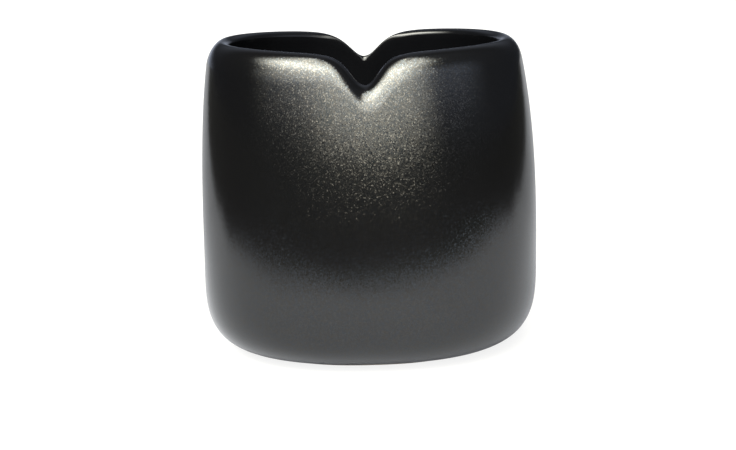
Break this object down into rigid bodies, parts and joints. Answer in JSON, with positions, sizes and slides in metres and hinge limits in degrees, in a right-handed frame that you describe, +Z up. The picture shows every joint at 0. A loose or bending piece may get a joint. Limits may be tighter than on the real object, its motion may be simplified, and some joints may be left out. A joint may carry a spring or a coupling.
{
  "type": "sugar bowl",
  "caption": "Lidless rounded-square ceramic sugar bowl, slightly tapered, with a soft V dip in the front and rear rim, satin black outside and glossier black inside.",
  "frame": {"origin": "centre of the foot ring, in the plane it stands on", "axes": "+Z up through the open rim, front dip towards -Y, +X to the right seen from the front"},
  "size_m": [0.09, 0.086, 0.082],
  "materials": {
    "stoneware": "unglazed fired stoneware, matt, fine grain",
    "outer_glaze": "satin black with fine metallic speckle",
    "inner_glaze": "smooth semi-gloss black"
  },
  "bodies": {
    "root": {"stoneware_body": "stoneware", "outer_glaze": "outer_glaze", "inner_glaze": "inner_glaze"}
  },
  "joints": []
}
